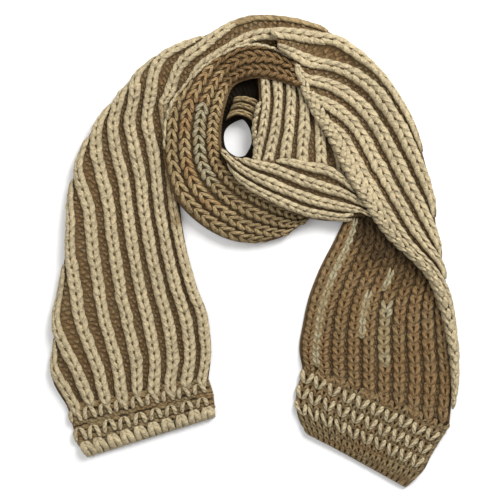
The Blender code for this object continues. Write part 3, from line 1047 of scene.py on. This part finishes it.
class ScarfOperator:
    """What every operator of the scarf shares."""

    bl_options = {"REGISTER", "UNDO"}

    def execute(self, context):
        if not CLOTH:
            CLOTH.update(lay_cloth())
        self.make(context)
        return {"FINISHED"}


def cut_ribs(ribs, taken):
    """Whole ribs, less the parts of them that are knitted in another yarn."""
    parts = []
    for rib in ribs:
        first = 0.0
        for number, start, stop in sorted(taken):
            if number == rib:
                parts.append((rib, first, start))
                first = stop
        parts.append((rib, first, 1.0))
    return parts


def front_stretch(name, low, high, rests_on=(), seed=1, edges=(), nodes=None, dull=(), dusty=(), **leg):
    """A stretch with the cream ribs up: cream stitches, brown valleys."""
    stretch = CLOTH[name]
    shell = cloth_shell(stretch, valley_yarn(), nodes=nodes)
    cream = cut_ribs(range(low, high + 1), (*dull, *dusty))
    pieces = []
    for parts, yarn, suffix, extra in (
            (cream, cream_yarn, "_ribs", 0), (dull, khaki_yarn, "_mixed_ribs", 60),
            (dusty, dusty_yarn, "_dusty_ribs", 70)):
        pieces += knit_ribs(stretch, parts, yarn(), "cream_yarn", suffix, seed + extra, **leg)
    pieces.append(knit_eyes(stretch, cream, seed))
    pieces.append(knit_valleys(stretch, range(low - 1, high + 1), seed + 50))


def back_stretch(name, high, yarns, streaks=(), rests_on=(), seed=1, edges=(), rib_mm=18.0, inset=None,
                 **leg):
    """A stretch with the brown ribs up, in the first yarn but for the parts that the other yarns list."""
    stretch = CLOTH[name]
    shell = cloth_shell(stretch, valley_yarn(), inset=inset)
    main, others = yarns[0], yarns[1:]
    brown = cut_ribs(range(high + 1), [part for _, _, parts in others for part in parts])
    pieces = knit_ribs(stretch, brown, main, "brown_yarn", seed=seed, rib_mm=rib_mm, **leg)
    for number, (yarn, slot, parts) in enumerate(others):
        suffix = f"_ribs_{number + 2}"
        pieces += knit_ribs(stretch, parts, yarn, slot, suffix, seed + 90 + number, rib_mm, **leg)
    pieces.append(knit_valleys(stretch, range(-1, high + 1), seed + 50, rib_mm))
    pieces += knit_ribs(
        stretch, streaks, pale_yarn(), "cream_yarn", "_streaks", seed + 95, rib_mm, narrow=0.95, low=0.3,
        flip=leg.get("flip", False), **STREAK_LEG)


class SCARF_OT_left_tail(ScarfOperator, bpy.types.Operator):
    """Knits the left tail and the stretch that runs on over the top"""

    bl_idname = "scarf.left_tail"
    bl_label = "Left tail and top"

    def make(self, context):
        # Rib 8 is knitted in khaki and dimmed cream where it runs beside the ring, as the two yarns' mixed
        # colour and painted shade of the ring, and in khaki at its far end along the top edge.
        front_stretch("front_run", 0, 10, seed=3, nodes=("left_tail", "over_top"),
                      dull=[(8, 0.45, 0.59), (8, 0.92, 1.0)], dusty=[(8, 0.38, 0.45), (8, 0.59, 0.66)])


class SCARF_OT_right_sweep(ScarfOperator, bpy.types.Operator):
    """Knits the stretch that sweeps down the right side, with its braided selvedge"""

    bl_idname = "scarf.right_sweep"
    bl_label = "Right sweep"

    def make(self, context):
        sweep = CLOTH["right_sweep"]
        braid = [
            knit_chain(sweep, "_braid_outer", **OUTER_BRAID),
            knit_chain(sweep, "_braid_inner", **INNER_BRAID),
        ]
        front_stretch("right_sweep", 8, 13, rests_on=["right_tail", "cross_band"], seed=8, edges=braid,
                      dull=[(8, 0.0, 0.3)], dusty=[(9, 0.34, 0.55)], rib_mm=25.5)


class SCARF_OT_inner_stretches(ScarfOperator, bpy.types.Operator):
    """Knits the cream stretches inside the loop"""

    bl_idname = "scarf.inner_stretches"
    bl_label = "Inner stretches"

    def make(self, context):
        edge = knit_chain(CLOTH["inner_ribs"], "_selvedge", **INNER_SELVEDGE)
        front_stretch("inner_ribs", 0, 5, rests_on=["loop_core"], seed=11, edges=(edge,))
        front_stretch("cross_band", 0, 3, rests_on=["ring_band", "inner_ribs"], seed=13)
        # The eye fold is knitted in khaki, darker than the cream: painted shade deep in the eye.
        back_stretch("eye_fold", 2, [khaki_yarn()], rests_on=["loop_core"], seed=23)


class SCARF_OT_back_stretches(ScarfOperator, bpy.types.Operator):
    """Knits the stretches that show their brown face"""

    bl_idname = "scarf.back_stretches"
    bl_label = "Brown stretches"

    def make(self, context):
        self.ring_band()
        self.right_tail()

    def ring_band(self):
        rim = knit_chain(CLOTH["ring_band"], "_rim", **RING_RIM)
        # The first quarter of the ring, along its top, is knitted in a darker brown as painted shade.
        top = [(rib, 0.0, 0.24) for rib in range(4)]
        pale = [(2, 0.33, 0.64)]
        mixed = [(0, 0.26, 1.0), (2, 0.64, 1.0), (3, 0.58, 1.0), (1, 0.70, 1.0)]
        back_stretch(
            "ring_band", 3,
            [ring_yarn(), (shaded_yarn(0.82), "brown_yarn", top), (pale_yarn(), "cream_yarn", pale),
             (khaki_yarn(), "cream_yarn", mixed)],
            rests_on=["over_top", "loop_core"], seed=17, edges=(rim,), rib_mm=20.0, inset=0.0, **RING_LEG)

    def right_tail(self):
        # Painted shadow of the right sweep on the right tail: ribs 1 to 8 are knitted in four darker browns
        # near the top, where they come out from under the sweep, darkest at the top.
        shades, depth = [], 0.0
        for strength, reach in ((0.30, 0.78), (0.46, 0.88), (0.64, 1.0), (0.82, 1.14)):
            parts = [(rib, depth * rib / (rib + 1.6), 0.5 * reach * rib / (rib + 1.6)) for rib in range(1, 9)]
            shades.append((shaded_yarn(strength), "brown_yarn", parts))
            depth = 0.5 * reach
        back_stretch(
            "right_tail", 9, [brown_yarn(), *shades, (pale_yarn(), "cream_yarn", [(5, 0.50, 0.84)])],
            [(0.55, 0.05, 0.90), (3.5, 0.45, 0.66), (4.5, 0.30, 0.42)], seed=19, **TAIL_LEG)


class SCARF_OT_loop_core(ScarfOperator, bpy.types.Operator):
    """Covers the hidden folds under the loop with nearly black cloth, as painted shadow"""

    bl_idname = "scarf.loop_core"
    bl_label = "Hidden folds"

    def make(self, context):
        stretch = CLOTH["loop_core"]
        cloth_shell(stretch, hidden_yarn(), ribbed=False, inset=0.0)


def band_spots(stretch, columns, rows, wide, tall, long, seed, each=1, skew=0.0):
    """Stitches of an end band.  A row is its travel, and one column in `each` shows."""
    random = np.random.default_rng(seed)
    low, high = stretch.ribs[0, 0], stretch.ribs[0, 2]
    step = (high - low) / columns
    spots = []
    for travel in rows:
        for column in range(columns):
            shake = random.normal(0.0, 1.0, 4)
            if column % each == 0:
                across = column + 0.5
                spots.append((
                    travel + skew * (across / columns - 0.5) + 0.4 * shake[0],
                    low + across * step + 0.015 * shake[1],
                    step * wide * (1 + 0.04 * shake[2]),
                    size_mm("yarn_height") * tall * (1 + 0.06 * shake[3]),
                    long,
                ))
    return spots


class SCARF_OT_end_bands(ScarfOperator, bpy.types.Operator):
    """Knits the patterned band at each end and the cast-off edge"""

    bl_idname = "scarf.end_bands"
    bl_label = "End bands"

    def make(self, context):
        self.right_band()
        self.left_band()
        self.left_edging()

    def right_band(self):
        band = CLOTH["right_end_band"]
        shell = cloth_shell(band, band_brown_yarn(), ribbed=False)
        light = band_spots(band, columns=20, rows=(12.5, 30.0, 47.5), each=2, wide=1.05, tall=0.85, long=13.0,
                           seed=41, skew=12.0)
        cream = knit_legs("right_band_light_stitches", band, light, cream_yarn(), "cream_yarn", sink=0.2,
                          flip=True, **BOLD_LEG)
        dark = band_spots(band, columns=20, rows=[1.0 + 9.2 * row for row in range(9)], wide=1.05, tall=0.7,
                          long=9.6, seed=42, skew=6.0)
        brown = knit_legs("right_band_brown_stitches", band, dark, band_brown_yarn(), "brown_yarn", sink=2.2,
                          flip=True, **PLAIN_LEG)

    def left_band(self):
        band = CLOTH["left_end_band"]
        shell = cloth_shell(band, band_brown_yarn(), ribbed=False)
        rows = [band.length * share for share in (0.27, 0.76)]
        light = band_spots(band, columns=18, rows=rows, each=2, wide=1.0, tall=0.85, long=12.5, seed=43)
        cream = knit_legs("left_band_light_stitches", band, light, cream_yarn(), "cream_yarn", sink=0.6,
                          **{**BOLD_LEG, "bend": 0.5})
        rows = [band.length * share for share in np.linspace(-0.02, 0.98, 9)]
        random = np.random.default_rng(48)
        bumps = band_spots(band, columns=18, rows=rows, wide=0.62, tall=0.78, long=9.5, seed=45)
        bumps = [(travel + random.normal(0.0, 1.1), *rest) for travel, *rest in bumps]
        purl = lay_bars("left_band_purl", band, bumps, band_brown_yarn(), sink=2.6)

    def left_edging(self):
        edging = CLOTH["left_end_edging"]
        shell = cloth_shell(edging, cream_yarn(), ribbed=False)
        loops = band_spots(edging, columns=10, rows=[edging.length * 0.45], wide=1.0, tall=1.25, long=15.0,
                           seed=46)
        loops = knit_legs("left_edging_loops", edging, loops, cream_yarn(), "cream_yarn", sink=1.6,
                          **EDGING_LEG)
        rim = band_spots(edging, columns=22, rows=[edging.length * 0.9], wide=0.62, tall=0.9, long=12.0,
                         seed=47)
        rim = lay_bars("left_edging_rim", edging, rim, cream_yarn(), sink=1.0)


FLOOR_HALF = 3.0
FLOOR_DEPTH = 0.0006
KEY_PLACE, KEY_SIZE = (0.70, 0.95, 1.10), 0.8
FILL_PLACE, FILL_SIZE, FILL_SHARE = (-1.0, 0.2, 1.3), 1.4, 0.30
WORLD_STRENGTH = 0.50
CAMERA_PLACE = (-0.004, 0.0017, 1.3576 + 0.012)


def add_object(name, data):
    """A new object in the scene."""
    item = bpy.data.objects.new(name, data)
    bpy.context.scene.collection.objects.link(item)
    return item


def add_light(name, place, size, power):
    """A large square soft light aimed at the scarf."""
    data = bpy.data.lights.new(name, "AREA")
    data.size = size
    data.energy = power
    light = add_object(name, data)
    light.location = place
    aim = -np.array(place)
    light.rotation_euler = (
        math.atan2(math.hypot(aim[0], aim[1]), -aim[2]), 0.0, math.atan2(aim[1], aim[0]) - math.pi / 2)


class SCARF_OT_stage(bpy.types.Operator):
    """Sets up the floor, the soft lights and the camera"""

    bl_idname = "scarf.stage"
    bl_label = "Studio"
    bl_options = {"REGISTER", "UNDO"}

    def execute(self, context):
        scene, colours = context.scene, context.scene.scarf_colours
        mesh = bpy.data.meshes.new("studio_floor")
        corners = [
            (FLOOR_HALF * x, FLOOR_HALF * y, -FLOOR_DEPTH) for x, y in ((-1, -1), (1, -1), (1, 1), (-1, 1))]
        mesh.from_pydata(corners, [], [(0, 1, 2, 3)])
        material = bpy.data.materials.new("studio_floor")
        material.use_nodes = True
        shader = material.node_tree.nodes["Principled BSDF"]
        shader.inputs["Base Color"].default_value = colours.floor
        shader.inputs["Roughness"].default_value = 0.9
        mesh.materials.append(material)
        floor = add_object("studio_floor", mesh)
        add_light("key_light", KEY_PLACE, KEY_SIZE, colours.light)
        add_light("fill_light", FILL_PLACE, FILL_SIZE, colours.light * FILL_SHARE)
        scene.world = scene.world or bpy.data.worlds.new("studio")
        scene.world.use_nodes = True
        background = scene.world.node_tree.nodes["Background"]
        background.inputs["Color"].default_value = (1.0, 1.0, 1.0, 1.0)
        background.inputs["Strength"].default_value = WORLD_STRENGTH
        lens = bpy.data.cameras.new("camera")
        lens.lens = 85.0
        lens.sensor_width = 36.0
        camera = add_object("camera", lens)
        camera.location = CAMERA_PLACE
        camera.rotation_euler = (0.0, 0.0, 0.0)
        scene.camera = camera
        scene.view_settings.view_transform = "Standard"
        return {"FINISHED"}


class SCARF_PT_panel(bpy.types.Panel):
    """Lists the scarf's sizes, colours and steps"""

    bl_idname = "SCARF_PT_panel"
    bl_label = "Chunky knit scarf"
    bl_space_type = "VIEW_3D"
    bl_region_type = "UI"
    bl_category = "Scarf"

    def draw(self, context):
        for group in (context.scene.scarf_sizes, context.scene.scarf_colours):
            box = self.layout.box()
            for field in group.bl_rna.properties:
                if not field.is_readonly and field.identifier != "name":
                    box.prop(group, field.identifier)
        for step in STEPS:
            self.layout.operator(step.bl_idname)


STEPS = (
    SCARF_OT_left_tail,
    SCARF_OT_right_sweep,
    SCARF_OT_inner_stretches,
    SCARF_OT_back_stretches,
    SCARF_OT_loop_core,
    SCARF_OT_end_bands,
    SCARF_OT_stage,
)
CLASSES = (ScarfSizes, ScarfColours, *STEPS, SCARF_PT_panel)


def register():
    for item in CLASSES:
        bpy.utils.register_class(item)
    bpy.types.Scene.scarf_sizes = PointerProperty(type=ScarfSizes)
    bpy.types.Scene.scarf_colours = PointerProperty(type=ScarfColours)


def unregister():
    del bpy.types.Scene.scarf_sizes
    del bpy.types.Scene.scarf_colours
    for item in reversed(CLASSES):
        bpy.utils.unregister_class(item)


def main():
    register()
    bpy.ops.scarf.left_tail()
    bpy.ops.scarf.right_sweep()
    bpy.ops.scarf.inner_stretches()
    bpy.ops.scarf.back_stretches()
    bpy.ops.scarf.loop_core()
    bpy.ops.scarf.end_bands()
    bpy.ops.scarf.stage()
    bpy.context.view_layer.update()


if __name__ == "__main__":
    main()
